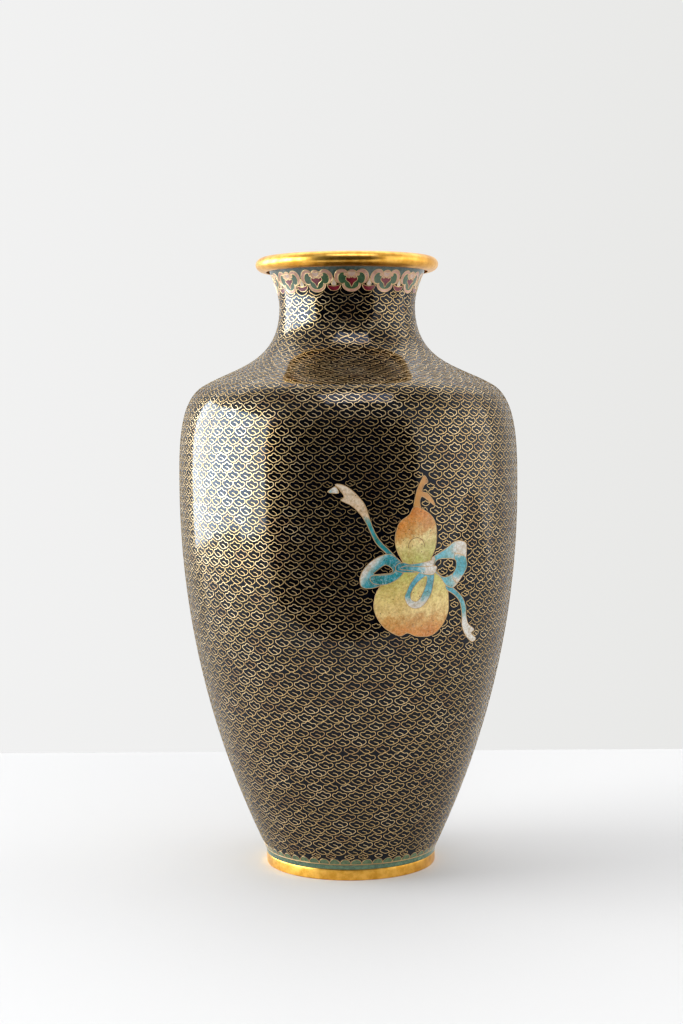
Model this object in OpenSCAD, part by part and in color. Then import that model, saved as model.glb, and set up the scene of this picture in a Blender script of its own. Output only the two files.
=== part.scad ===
// Cloisonne vase: a brazed copper body with a gilt foot band and a gilt rolled lip, a coat of fired
// enamel outside and inside, and the gilt wires that fence off the enamel of the borders and of the
// gourd and ribbon. Every wall follows one outline of the enamelled face, and each layer lies a fixed
// distance inside it.

/* [Outline of the enamelled face] */
// Overall height of the vase, from the table to the top of the lip
vase_h = 254; // [250:0.5:260]
// Height of the gilt foot band
foot_h = 4.6; // [4:0.1:5]
// Outer radius of the gilt foot band
foot_r = 35.7; // [34:0.1:35.8]
// Radius of the enamelled face where it leaves the foot band
heel_r = 36; // [35.8:0.1:37]
// Largest radius of the body
belly_r = 70.7; // [69:0.1:72]
// Height of the largest radius
belly_z = 158.7; // [155:0.1:162]
// Radius in the middle of the sloping shoulder
shoulder_r = 60.5; // [59:0.1:62]
// Height of the middle of the shoulder
shoulder_z = 200.8; // [199:0.1:202]
// Steepness of the shoulder there, in degrees from the horizontal
shoulder_a = 31; // [29:1:33]
// Smallest radius of the neck
neck_r = 28.3; // [27.5:0.1:29]
// Height of the smallest radius
neck_z = 233.7; // [232:0.1:235]
// Radius of the neck where it enters the lip
mouth_r = 32.6; // [32:0.1:33.2]

/* [Thickness of the layers] */
// Outer enamel, which the wires run through from face to copper
enamel_t = 0.8; // [0.6:0.1:1]
// Copper sheet of the body
copper_t = 0.9; // [0.8:0.1:1.1]
// Enamel lining
lining_t = 0.35; // [0.3:0.05:0.5]
// Width of a wire
wire_w = 0.4; // [0.3:0.05:0.45]

/* [Lip and base] */
// Outer radius of the rolled lip
lip_r = 38.05; // [37.5:0.05:38.5]
// Thickness of the sheet that the lip is rolled from
lip_sheet = 0.8; // [0.6:0.1:0.9]
// Height of the roll
lip_roll_h = 6.1; // [5.9:0.1:6.2]
// Width of the foot band, from its outer to its inner face
foot_w = 2.5; // [2.2:0.1:2.8]
// Thickness of the enamel under the base
base_enamel_t = 0.6; // [0.4:0.1:0.8]
// Length of the half-lap at each brazed seam
seam_lap = 4; // [3:0.5:6]

/* [Collar of cloud heads] */
// Number of cloud heads round the neck
heads = 13; // [12:1:13]
// Height of the line through the two side lobes
head_z = 243.9; // [243.6:0.1:244.1]
// Direction of the first head, in degrees to the right of the front
head_turn = 3.6; // [0:0.1:27]

/* [Green border above the foot] */
// Number of scallops
scallops = 52; // [50:1:52]
// Height of the ring of wire under the scallops
border_z = 6.7; // [6.6:0.1:6.8]

/* [Gourd and ribbon] */
// Direction of the gourd, in degrees to the right of the front
gourd_turn = 22; // [0:1:60]
// Height of the gourd's waist
gourd_z = 132; // [125:1:140]

/* [Hidden] */
$fn = 96;

// Radius clear of the whole vase, and room left past a shape by whatever cuts it out.
reach = belly_r + 5;
spare = 0.5;
// Depths of the layers below the enamelled face.
copper_d = enamel_t;
lining_d = copper_d + copper_t;
cavity_d = lining_d + lining_t;

/* ---- the outline ---- */
heel_z = 6.4;
// How far the wall runs up behind the lower edge of the lip's roll.
tuck = 0.5;
mouth_z = vase_h - lip_roll_h + tuck;
heel_pull = [12.9, 27.5];
belly_pull = [72, 16.5];
shoulder_pull = [12, 15.4];
neck_pull = [23.7, 5.5];
mouth_pull = [1.15, 2.2];

function bezier_point(p, t) =
    pow(1 - t, 3) * p[0] + 3 * pow(1 - t, 2) * t * p[1] + 3 * (1 - t) * t * t * p[2] + pow(t, 3) * p[3];
function bezier(p, steps) = [for (i = [1 : steps]) bezier_point(p, i / steps)];

heel = [heel_r, heel_z];
belly = [belly_r, belly_z];
shoulder = [shoulder_r, shoulder_z];
shoulder_dir = [-cos(shoulder_a), sin(shoulder_a)];
neck = [neck_r, neck_z];
mouth = [mouth_r, mouth_z];

// Steps of each stretch of the outline.
body_steps = 20;
shoulder_steps = 10;
throat_steps = 10;
mouth_steps = 5;
outline = concat(
    [[heel_r, foot_h], heel],
    bezier([heel, heel + heel_pull, belly - [0, belly_pull[0]], belly], body_steps),
    bezier([belly, belly + [0, belly_pull[1]], shoulder - shoulder_dir * shoulder_pull[0], shoulder],
           shoulder_steps),
    bezier([shoulder, shoulder + shoulder_dir * shoulder_pull[1], neck - [0, neck_pull[0]], neck],
           throat_steps),
    bezier([neck, neck + [0, neck_pull[1]], mouth - mouth_pull, mouth], mouth_steps));
last = len(outline) - 1;
belly_i = 1 + body_steps;
throat_i = belly_i + shoulder_steps + 3;

// How far to go inwards, level, for one unit square to the face.
function level(i) =
    let (a = outline[max(i - 1, 0)], b = outline[min(i + 1, last)])
    i == 0 ? 1 : norm(b - a) / (b[1] - a[1]);
// The point that lies depth d below point i of the face.
function below(i, d) = outline[i] - [d * level(i), 0];
function path(i0, i1, d) = [for (i = [i0 : i1]) below(i, d)];
function back(points) = [for (i = [len(points) - 1 : -1 : 0]) points[i]];

// A layer of the wall between two points of the outline and two depths.
module layer(i0, i1, d0, d1) {
    rotate_extrude() polygon(concat(path(i0, i1, d0), back(path(i0, i1, d1))));
}

// A disc of space between two heights, wider than the vase.
module slice(z0, z1) {
    translate([0, 0, z0]) cylinder(r = reach, h = z1 - z0);
}

// Index of the last point of the outline below a height.
function index_below(z) = max([for (k = [0 : last]) if (outline[k][1] < z) k]);

// The part of the outer enamel between two directions, as whole steps of the outline.
module patch(z0, z1, from, to) {
    i0 = index_below(z0);
    i1 = min(index_below(z1) + 1, last);
    rotate_extrude(start = from - 90, angle = to - from)
        polygon(concat(path(i0, i1, 0), back(path(i0, i1, copper_d))));
}

// A flat shape, drawn with its own Y upwards, carried out through the wall at an angle from the front.
module carried_out(angle) {
    rotate([0, 0, angle]) rotate([90, 0, 0]) linear_extrude(height = reach) children();
}

wire = wire_w / 2;

/* ---- the copper body ---- */
seam_d = copper_d + copper_t / 2;
// The last point of the outline a lap's length below a seam.
function lap_start(i) = index_below(outline[i][1] - seam_lap);

module copper(i0, i1, low_lap, high_lap) {
    low = low_lap ? lap_start(i0) : i0;
    high = high_lap ? lap_start(i1) : i1;
    color("#b87333") rotate_extrude() polygon(concat(
        path(low, i0, copper_d), path(i0, high, copper_d),
        path(high, i1, seam_d), back(path(i0, i1, lining_d)), back(path(low, i0, seam_d))));
}
module lower_body_shell() { copper(0, belly_i, false, true); }
module shoulder_shell() { copper(belly_i, throat_i, true, true); }
module neck_shell() { copper(throat_i, last, true, false); }

plate_r = heel_r - lining_d;
module base_plate() {
    color("#b87333") translate([0, 0, foot_h]) cylinder(r = plate_r, h = copper_t);
}

/* ---- foot and lip ---- */
foot_bevel = 0.4;
module foot_ring() {
    color("gold") rotate_extrude() polygon([
        [foot_r - foot_w, 0], [foot_r - foot_bevel, 0], [foot_r, foot_bevel],
        [foot_r, foot_h - foot_bevel], [foot_r - foot_bevel, foot_h], [foot_r - foot_w, foot_h]]);
}

// The lip's sheet runs up inside the copper and rolls outwards and down, stopping short of the neck.
sleeve_i = last - 2;
roll_in_r = mouth_r - lining_d - lip_sheet;
roll_a = (lip_r - roll_in_r) / 2;
roll_b = lip_roll_h / 2;
roll_c = [lip_r - roll_a, vase_h - roll_b];
roll_from = 195;
roll_to = -95;
roll_step = 10;
function roll(inset) = [for (a = [roll_from : -roll_step : roll_to])
    roll_c + [(roll_a - inset) * cos(a), (roll_b - inset) * sin(a)]];
module lip_ring() {
    color("gold") rotate_extrude() polygon(concat(
        path(sleeve_i, last, lining_d + lip_sheet), roll(0),
        back(roll(lip_sheet)), back(path(sleeve_i, last, lining_d))));
}

/* ---- plain coats ---- */
module inner_enamel() {
    floor_z = foot_h + copper_t;
    floor_i = 2;
    color("#3a8f9c") rotate_extrude() polygon(concat(
        [[0, floor_z], [plate_r, floor_z]], path(floor_i, sleeve_i, lining_d),
        back(path(floor_i, sleeve_i, cavity_d)),
        [[plate_r - lining_t, floor_z + lining_t], [0, floor_z + lining_t]]));
}
module base_enamel() {
    color("#3a8f9c") translate([0, 0, foot_h - base_enamel_t])
        cylinder(r = foot_r - foot_w, h = base_enamel_t);
}

/* ---- collar of cloud heads ---- */
side_lobe_x = 4.2;
side_lobe_r = 2.6;
chin_lobe_r = 2.9;
chin_drop = 2.5;
brow_r = 2.4;
brow_drop = 0.4;
leaf_x = 3.7;
leaf_r = 1.45;
leaf_drop = 3.1;
heart_r = 1.25;
heart_drop = 0.2;
drop_r = 1.7;
drop_low = 3.8;
ground_top = head_z + spare;
head_pitch = 360 / heads;
collar_low = head_z - chin_drop - chin_lobe_r - spare;
round_fn = 12;

module disc(x, z, r) { translate([x, z]) circle(r = r, $fn = round_fn); }
module head_area() {
    disc(-side_lobe_x, head_z, side_lobe_r);
    disc(side_lobe_x, head_z, side_lobe_r);
    disc(0, head_z - chin_drop, chin_lobe_r);
    disc(0, head_z - brow_drop, brow_r);
}
module heart_area() { disc(0, head_z - heart_drop, heart_r); }
module leaf_area() {
    difference() {
        union() {
            disc(-leaf_x, head_z, leaf_r);
            disc(leaf_x, head_z, leaf_r);
            disc(0, head_z - leaf_drop, leaf_r);
        }
        heart_area();
    }
}
module drop_area() { disc(0, head_z - drop_low, drop_r); }
module head_inset() {
    offset(delta = -wire) difference() { head_area(); leaf_area(); heart_area(); }
}
module leaf_inset() { offset(delta = -wire) leaf_area(); }
module heart_inset() { offset(delta = -wire) heart_area(); }
module drop_inset() { offset(delta = -wire) drop_area(); }

// The flat shape cut out of the enamel once for each head, or for each gap when half a pitch further.
module round_the_collar(half) {
    for (k = [0 : heads - 1]) {
        a = head_turn + (k + half) * head_pitch;
        intersection() {
            patch(collar_low, head_z + side_lobe_r + spare, a - head_pitch / 2, a + head_pitch / 2);
            carried_out(a) children();
        }
    }
}
module collar_head_enamel() { color("#e8b8a4") round_the_collar(0) head_inset(); }
module collar_leaf_enamel() { color("#3f7f5c") round_the_collar(0) leaf_inset(); }
module collar_heart_enamel() { color("#9c2f3c") round_the_collar(0) heart_inset(); }
module collar_drop_enamel() { color("#8c2434") round_the_collar(0.5) drop_inset(); }
module collar_ground_enamel() {
    color("#5f8c84") for (k = [0 : heads - 1]) {
        a = head_turn + k * head_pitch;
        difference() {
            intersection() {
                patch(ground_top, vase_h, a - head_pitch / 2, a + head_pitch / 2);
                slice(ground_top, vase_h);
            }
            carried_out(a) offset(delta = wire) head_area();
        }
    }
}
module collar_wires() {
    color("gold") {
        round_the_collar(0) difference() {
            offset(delta = wire) head_area();
            head_inset();
            leaf_inset();
            heart_inset();
        }
        round_the_collar(0.5) difference() {
            drop_area();
            drop_inset();
        }
    }
}

/* ---- green border above the foot ---- */
scallop_pitch = 360 / scallops;
scallop_r = 2.3;
scallop_rise = 0.2;
module scallop_disc() { disc(0, border_z + scallop_rise, scallop_r - scallop_rise); }
module scallop_area() {
    intersection() {
        scallop_disc();
        translate([-scallop_r, border_z]) square([2 * scallop_r, scallop_r]);
    }
}
module round_the_border() {
    for (k = [0 : scallops - 1]) {
        a = (k + 0.5) * scallop_pitch;
        intersection() {
            patch(heel_z, border_z + scallop_r, a - scallop_pitch / 2, a + scallop_pitch / 2);
            carried_out(a) children();
        }
    }
}
module border_band(z0, z1) {
    intersection() {
        layer(0, index_below(z1) + 1, 0, copper_d);
        slice(z0, z1);
    }
}
module border_strip_enamel() { color("#5a9c78") border_band(foot_h, border_z - wire_w); }
module border_ring_wire() { color("gold") border_band(border_z - wire_w, border_z); }
module border_scallop_enamel() {
    color("#5a9c78") round_the_border() offset(delta = -wire) scallop_area();
}
module border_scallop_wires() {
    color("gold") round_the_border() difference() {
        scallop_area();
        offset(delta = -wire) scallop_area();
    }
}

/* ---- gourd and ribbon ---- */
// Points of a smooth closed curve through a few given ones.
function curve_point(a, b, c, d, t) =
    b + 0.5 * t * (c - a + t * (2 * a - 5 * b + 4 * c - d + t * (3 * b - a - 3 * c + d)));
curve_steps = 3;
function smooth(p) = let (n = len(p)) [for (i = [0 : n - 1], k = [0 : curve_steps - 1])
    curve_point(p[(i + n - 1) % n], p[i], p[(i + 1) % n], p[(i + 2) % n], k / curve_steps)];
module blob(points) { polygon(smooth(points)); }

// Each outline is drawn from the gourd's waist, x to the right and y upwards.
module gourd_lower_area() {
    blob([[-14.5, -9], [-16.5, -15], [-15.5, -20], [-12, -25], [-6, -28.5], [-2.5, -27.5], [1.5, -29],
          [8, -29], [12.5, -25.5], [15, -20.5], [15, -15.5], [14, -10.5], [10.5, -6], [7, -4], [0, -2],
          [-8, -3]]);
}
module gourd_upper_area() {
    blob([[-4.5, -1.5], [-6, 1], [-8, 4.5], [-9, 8.5], [-8.5, 12.5], [-7, 16], [-3.5, 18.5],
          [-1.5, 21.5], [1.5, 21], [6, 18], [8, 14.5], [8.5, 10], [8, 5.5], [6.5, 2], [5, -1],
          [1.5, -2]]);
}
module gourd_stem_area() {
    blob([[-1.5, 20.5], [-1, 25], [0, 28.5], [1.5, 31.5], [3, 33.5], [4.5, 31], [3, 30], [2, 27.5],
          [4.5, 26.5], [7, 23.5], [7.5, 22], [6.5, 22.5], [4.5, 24], [2, 25.5], [1, 23.5], [1.5, 20]]);
}
module tail_left_area() {
    blob([[-31, 30.5], [-29, 30.5], [-26, 29], [-23, 26], [-20.5, 22.5], [-19, 18], [-17, 12.5],
          [-14.5, 8.5], [-11, 5], [-5.5, -1], [-8.5, 0], [-12.5, 4], [-16, 7.5], [-18, 11],
          [-20, 15.5], [-22.5, 19.5], [-25.5, 22.5], [-29, 24.5], [-28, 26], [-29.5, 28.5]]);
}
module tail_right_area() {
    blob([[14, -9], [18, -11.5], [22, -15], [24, -19], [24.5, -22.5], [26, -26], [29.5, -28.5],
          [28, -30], [31, -32.5], [28.5, -33.5], [24.5, -30], [22.5, -26], [22, -21], [20.5, -16.5],
          [17.5, -13.5], [13.5, -11]]);
}
module loop_left_area() {
    difference() {
        blob([[-6, 0], [-10.5, 3.5], [-14.5, 3], [-18, 1], [-21, -2.5], [-22, -6.5], [-21, -9],
              [-18, -9.5], [-14, -8.5], [-9, -7], [-5, -3.5]]);
        blob([[-17, -4], [-15, -2], [-12.5, -0.5], [-10, -2], [-10, -3.5], [-13, -4]]);
    }
}
module loop_middle_area() {
    difference() {
        blob([[2.5, -3], [-2, -7.5], [-3.5, -10.5], [-4.5, -13.5], [-2.5, -17], [1, -18], [4, -16.5],
              [6.5, -13], [7.5, -9], [7.5, -4]]);
        blob([[4, -5.5], [4.5, -7.5], [3, -12], [1, -15], [-1.5, -14.5], [-2, -12], [0, -8.5]]);
    }
}
module loop_right_area() {
    difference() {
        blob([[6.5, 1.5], [13, 5], [17, 7.5], [20.5, 7.5], [23, 6], [23, 1], [23.5, -3], [20, -8],
              [17, -10.5], [13.5, -9.5], [10.5, -6], [8, -4], [6.5, -1]]);
        blob([[8, -0.5], [10.5, 1], [17, 0.5], [18, -2], [17, -4.5], [14.5, -6], [11.5, -6],
              [8.5, -3.5]]);
    }
}
module sash_area() {
    blob([[-8, -0.5], [-5.5, 0.2], [-2, -0.5], [5.5, 0.5], [7, 2], [8, 1], [7.5, -1], [8.5, -2.5],
          [7.5, -4.5], [4.5, -4.5], [2, -4], [-6, -3.5], [-8.5, -2.5]]);
}

// The ribbon's pieces from the front one to the back one, each hidden where another lies over it.
module loop_middle_seen() { difference() { loop_middle_area(); sash_area(); } }
module loop_left_seen() { difference() { loop_left_area(); sash_area(); } }
module loop_right_seen() { difference() { loop_right_area(); sash_area(); loop_middle_area(); } }
module tail_left_seen() { difference() { tail_left_area(); sash_area(); loop_left_area(); } }
module tail_right_seen() { difference() { tail_right_area(); loop_right_area(); } }
module ribbon_area() {
    sash_area();
    loop_middle_area();
    loop_left_area();
    loop_right_area();
    tail_left_area();
    tail_right_area();
}
module gourd_lower_seen() { difference() { gourd_lower_area(); ribbon_area(); } }
module gourd_upper_seen() { difference() { gourd_upper_area(); ribbon_area(); } }
module gourd_stem_seen() { difference() { gourd_stem_area(); gourd_upper_area(); } }
module gourd_area() {
    gourd_lower_area();
    gourd_upper_area();
    gourd_stem_area();
}

motif_low = gourd_z - 35;
motif_high = gourd_z + 35;
motif_half_width = 30;
module in_the_wall() {
    intersection() {
        patch(motif_low, motif_high, gourd_turn - motif_half_width, gourd_turn + motif_half_width);
        carried_out(gourd_turn) translate([0, gourd_z]) children();
    }
}
module panel() { in_the_wall() offset(delta = -wire) children(); }

module gourd_lower_enamel() { color("#dcae62") panel() gourd_lower_seen(); }
module gourd_upper_enamel() { color("#dcae62") panel() gourd_upper_seen(); }
module gourd_stem_enamel() { color("#d18d42") panel() gourd_stem_seen(); }
module ribbon_tail_left_enamel() { color("#6fb4c4") panel() tail_left_seen(); }
module ribbon_tail_right_enamel() { color("#6fb4c4") panel() tail_right_seen(); }
module ribbon_loop_left_enamel() { color("#2a8ca5") panel() loop_left_seen(); }
module ribbon_loop_middle_enamel() { color("#6fb4c4") panel() loop_middle_seen(); }
module ribbon_loop_right_enamel() { color("#6fb4c4") panel() loop_right_seen(); }
module ribbon_sash_enamel() { color("#8cc4d0") panel() sash_area(); }

// The outside of a group of wires, with any crack between two of them closed.
crack = 0.3;
module silhouette() { offset(delta = -crack) offset(delta = wire + crack) children(); }
// A flat shape without its slivers.
sliver = 0.06;
module without_slivers() { offset(delta = sliver) offset(delta = -sliver) children(); }

module ribbon_silhouette() { silhouette() ribbon_area(); }
module motif_silhouette() { silhouette() union() { ribbon_area(); gourd_area(); } }
module ribbon_wires() {
    color("gold") in_the_wall() without_slivers() difference() {
        ribbon_silhouette();
        offset(delta = -wire) sash_area();
        offset(delta = -wire) loop_middle_seen();
        offset(delta = -wire) loop_left_seen();
        offset(delta = -wire) loop_right_seen();
        offset(delta = -wire) tail_left_seen();
        offset(delta = -wire) tail_right_seen();
    }
}
module gourd_wires() {
    color("gold") in_the_wall() without_slivers() difference() {
        motif_silhouette();
        ribbon_silhouette();
        offset(delta = -wire) gourd_lower_seen();
        offset(delta = -wire) gourd_upper_seen();
        offset(delta = -wire) gourd_stem_seen();
    }
}

/* ---- dark ground, with a pocket for everything set into it ---- */
border_top_i = 3;
motif_low_i = index_below(motif_low);
motif_high_i = index_below(motif_high) + 1;
collar_low_i = index_below(collar_low);
module ground_enamel() {
    color("#17131c") {
        difference() {
            intersection() {
                layer(0, border_top_i, 0, copper_d);
                slice(border_z, vase_h);
            }
            for (k = [0 : scallops - 1]) carried_out((k + 0.5) * scallop_pitch) scallop_disc();
        }
        layer(border_top_i, motif_low_i, 0, copper_d);
        difference() {
            layer(motif_low_i, motif_high_i, 0, copper_d);
            carried_out(gourd_turn) translate([0, gourd_z]) motif_silhouette();
        }
        layer(motif_high_i, collar_low_i, 0, copper_d);
        difference() {
            intersection() {
                layer(collar_low_i, last, 0, copper_d);
                slice(0, ground_top);
            }
            for (k = [0 : heads - 1]) {
                carried_out(head_turn + k * head_pitch) offset(delta = wire) head_area();
                carried_out(head_turn + (k + 0.5) * head_pitch) drop_area();
            }
        }
    }
}

lower_body_shell();
shoulder_shell();
neck_shell();
base_plate();
foot_ring();
lip_ring();
ground_enamel();
inner_enamel();
base_enamel();
collar_ground_enamel();
collar_head_enamel();
collar_leaf_enamel();
collar_heart_enamel();
collar_drop_enamel();
collar_wires();
border_strip_enamel();
border_scallop_enamel();
border_ring_wire();
border_scallop_wires();
gourd_lower_enamel();
gourd_upper_enamel();
gourd_stem_enamel();
gourd_wires();
ribbon_tail_left_enamel();
ribbon_loop_left_enamel();
ribbon_sash_enamel();
ribbon_loop_middle_enamel();
ribbon_loop_right_enamel();
ribbon_tail_right_enamel();
ribbon_wires();
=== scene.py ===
# Cloisonne vase: smooth enamel coats, gilt lip and foot, the cloud-shaped wires of the dark ground,
# the collar of cloud heads, the scalloped border and the gourd tied with a ribbon.
# Sizes below are in millimetres and become metres where a mesh is made.
import math

import bpy
import numpy as np
from mathutils import Matrix, Vector
from mathutils.geometry import delaunay_2d_cdt


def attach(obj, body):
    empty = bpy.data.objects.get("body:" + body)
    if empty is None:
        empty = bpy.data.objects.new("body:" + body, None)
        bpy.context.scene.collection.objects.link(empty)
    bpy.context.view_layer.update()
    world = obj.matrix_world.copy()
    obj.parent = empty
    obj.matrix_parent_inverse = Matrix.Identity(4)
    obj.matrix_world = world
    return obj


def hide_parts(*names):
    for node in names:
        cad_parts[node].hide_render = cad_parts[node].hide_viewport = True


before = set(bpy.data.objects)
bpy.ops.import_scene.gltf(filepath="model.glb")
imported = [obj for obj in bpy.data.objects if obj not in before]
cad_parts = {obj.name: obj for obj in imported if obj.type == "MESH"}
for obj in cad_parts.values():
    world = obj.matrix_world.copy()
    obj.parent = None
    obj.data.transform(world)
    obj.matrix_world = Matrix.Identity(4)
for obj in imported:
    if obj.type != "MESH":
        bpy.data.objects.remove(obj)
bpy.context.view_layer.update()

MM = 0.001
TAU = 2 * math.pi
WHITE, BLACK, MIST = (1, 1, 1), (0, 0, 0), (0.55, 0.70, 0.70)

# ---------------------------------------------------------------- driving sizes
VASE_H = 254.0
FOOT_H = 4.6
FOOT_R = 35.7
FOOT_W = 2.5
BORDER_Z = 6.7
HEAD_Z = 243.9
HEADS = 13
HEAD_TURN = 3.6
SCALLOPS = 52
GOURD_TURN = 22.0
GOURD_Z = 132.0
LIP_R = 38.05
LIP_H = 6.1
MOUTH_R = 32.6
# Radii of the drawn wires: on the gourd and ribbon, the collar, the border, and the arch on the gourd.
WIRE_R, COLLAR_WIRE_R, BORDER_WIRE_R, ARCH_WIRE_R = 0.2, 0.17, 0.16, 0.15
# Depths below the face of the coat.
WIRE_TOP = 0.0  # tops of the wires
PANEL_D = 0.07  # face of the fired panels
GROUND_D = 0.09  # face of the dark ground
STRIP_D = 0.25  # face of the green strip under the scallops
WIRE_ROOT = 0.35  # foot of the wires in the ground
COAT_BACK_D = 0.78  # back of the outer coats, against the copper
LINING_D = 1.7  # back of the lining, against the copper
CAVITY_D = 2.05  # face of the lining
FIT = 0.02  # a hair's breadth between a coat and the metal behind it
PANEL_THICK = 0.3
LIP_SHEET = 0.8
# How many straight steps a full turn has.
RING_STEPS, LINING_STEPS, UNDERSIDE_STEPS = 256, 192, 128
# Edges flatter than this are shaded smooth.
TURNED_CREASE, PANEL_CREASE = math.radians(35), math.radians(40)


# ---------------------------------------------------------------- the outline
def bezier(a, b, c, d, steps):
    t = np.linspace(0, 1, steps + 1)[1:, None]
    return (1 - t) ** 3 * a + 3 * (1 - t) ** 2 * t * b + 3 * (1 - t) * t * t * c + t**3 * d


def make_outline():
    heel, belly = np.array([36.0, 6.4]), np.array([70.7, 158.7])
    shoulder, neck = np.array([60.5, 200.8]), np.array([28.3, 233.7])
    mouth = np.array([MOUTH_R, VASE_H - LIP_H + 0.5])
    slope = math.radians(31)
    along = np.array([-math.cos(slope), math.sin(slope)])
    up = np.array([0.0, 1.0])
    return np.vstack([
        [[36.0, FOOT_H], heel],
        bezier(heel, heel + (12.9, 27.5), belly - 72 * up, belly, 110),
        bezier(belly, belly + 16.5 * up, shoulder - 12 * along, shoulder, 44),
        bezier(shoulder, shoulder + 15.4 * along, neck - 23.7 * up, neck, 44),
        bezier(neck, neck + 5.5 * up, mouth - (1.15, 2.2), mouth, 16),
    ])


OUTLINE = make_outline()
TANGENT = np.gradient(OUTLINE, axis=0)
TANGENT /= np.linalg.norm(TANGENT, axis=1)[:, None]
NORMAL = np.stack([TANGENT[:, 1], -TANGENT[:, 0]], axis=1)
ARC = np.concatenate([[0], np.cumsum(np.linalg.norm(np.diff(OUTLINE, axis=0), axis=1))])


def at_height(z, depth=0.0):
    """Radius and height of the face's point at height z, sunk by depth along its normal."""
    r = np.interp(z, OUTLINE[:, 1], OUTLINE[:, 0])
    nr = np.interp(z, OUTLINE[:, 1], NORMAL[:, 0])
    nz = np.interp(z, OUTLINE[:, 1], NORMAL[:, 1])
    return r - nr * depth, z - nz * depth


def height_at(arc):
    return np.interp(arc, ARC, OUTLINE[:, 1])


def radius_at(arc):
    return np.interp(arc, ARC, OUTLINE[:, 0])


def arc_at(z):
    return float(np.interp(z, OUTLINE[:, 1], ARC))


def placed(theta, z, depth):
    """Points of the wall in metres: theta in radians from the front, towards the right."""
    r, zz = at_height(z, depth)
    return np.stack([r * np.sin(theta), -r * np.cos(theta), zz], axis=-1) * MM


def flat_to_wall(xy, turn_deg, z0, depth):
    """A flat drawing, seen square on at a direction, carried onto the wall."""
    z = z0 + xy[..., 1]
    theta = math.radians(turn_deg) + np.arcsin(xy[..., 0] / at_height(z)[0])
    return placed(theta, z, depth)


# ---------------------------------------------------------------- materials
def material(name, metallic=0.0, roughness=0.2, coat=0.0):
    m = bpy.data.materials.new(name)
    m.use_nodes = True
    b = m.node_tree.nodes["Principled BSDF"]
    set_inputs(b, Metallic=metallic, Roughness=roughness, Coat_Weight=coat, Coat_Roughness=0.04)
    return m, m.node_tree, b


def set_inputs(n, **values):
    for key, value in values.items():
        n.inputs[key.replace("_", " ")].default_value = value


def node(tree, kind, **settings):
    n = tree.nodes.new(kind)
    for key, value in settings.items():
        setattr(n, key, value)
    return n


def object_noise(tree, scale, detail=3.0, roughness=0.55):
    place = node(tree, "ShaderNodeTexCoord")
    n = node(tree, "ShaderNodeTexNoise")
    set_inputs(n, Scale=scale, Detail=detail, Roughness=roughness)
    tree.links.new(place.outputs["Object"], n.inputs["Vector"])
    return n.outputs["Fac"]


def ranged(tree, source, low, high, to_low=0.0, to_high=1.0):
    """A value stretched from one range to another."""
    n = node(tree, "ShaderNodeMapRange")
    set_inputs(n, From_Min=low, From_Max=high, To_Min=to_low, To_Max=to_high)
    tree.links.new(source, n.inputs["Value"])
    return n.outputs["Result"]


def scaled_sum(tree, a, factor, b):
    """a * factor + b, of node outputs or numbers."""
    n = node(tree, "ShaderNodeMath", operation="MULTIPLY_ADD")
    for socket, value in zip(n.inputs, (a, factor, b)):
        if isinstance(value, (int, float)):
            socket.default_value = value
        else:
            tree.links.new(value, socket)
    return n.outputs[0]


def ramp(tree, source, *stops):
    """Colours by position along a value; each stop is (position, (r, g, b))."""
    n = node(tree, "ShaderNodeValToRGB")
    elements = n.color_ramp.elements
    while len(elements) < len(stops):
        elements.new(0.5)
    for e, (where, colour) in zip(elements, stops):
        e.position = where
        e.color = (*colour, 1)
    tree.links.new(source, n.inputs["Fac"])
    return n.outputs["Color"]


def mixed(tree, how_much, a, b, blend="MIX"):
    n = node(tree, "ShaderNodeMix", data_type="RGBA", blend_type=blend)
    for socket, value in ((n.inputs[0], how_much), (n.inputs[6], a), (n.inputs[7], b)):
        if isinstance(value, (int, float)):
            socket.default_value = value
        elif isinstance(value, tuple):
            socket.default_value = (*value, 1)
        else:
            tree.links.new(value, socket)
    return n.outputs[2]


def bumped(tree, shader, source, height_mm, strength=1.0):
    n = node(tree, "ShaderNodeBump")
    set_inputs(n, Strength=strength, Distance=height_mm * MM)
    tree.links.new(source, n.inputs["Height"])
    tree.links.new(n.outputs["Normal"], shader.inputs["Normal"])


def pits(tree, scale, size):
    """1 on the enamel and 0 in scattered small pits."""
    place = node(tree, "ShaderNodeTexCoord")
    v = node(tree, "ShaderNodeTexVoronoi")
    set_inputs(v, Scale=scale, Randomness=1.0)
    tree.links.new(place.outputs["Object"], v.inputs["Vector"])
    pit = node(tree, "ShaderNodeMath", operation="GREATER_THAN")
    tree.links.new(v.outputs["Distance"], pit.inputs[0])
    pit.inputs[1].default_value = size
    return pit.outputs[0]


def dark_ground_enamel():
    m, tree, b = material("ground_enamel_dark", roughness=0.08)
    set_inputs(b, Specular_IOR_Level=0.25, Specular_Tint=(0.80, 0.88, 1.0, 1))
    cloud = object_noise(tree, 420.0, 2.0)
    colour = ramp(tree, cloud, (0.35, (0.0006, 0.0005, 0.0010)), (0.65, (0.0018, 0.0022, 0.0045)))
    tree.links.new(colour, b.inputs["Base Color"])
    bumped(tree, b, object_noise(tree, 260.0, 4.0), 0.01, 0.4)
    return m


def clouded_enamel(name, light, dark, scale=180.0, roughness=0.22, pit_scale=900.0, pit=0.12):
    m, tree, b = material(name, roughness=roughness, coat=0.35)
    colour = ramp(tree, object_noise(tree, scale, 5.0), (0.3, dark), (0.7, light))
    spots = pits(tree, pit_scale, pit)
    tree.links.new(mixed(tree, spots, (0.03, 0.02, 0.02), colour), b.inputs["Base Color"])
    bumped(tree, b, object_noise(tree, 500.0, 3.0), 0.02, 0.5)
    return m


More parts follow.
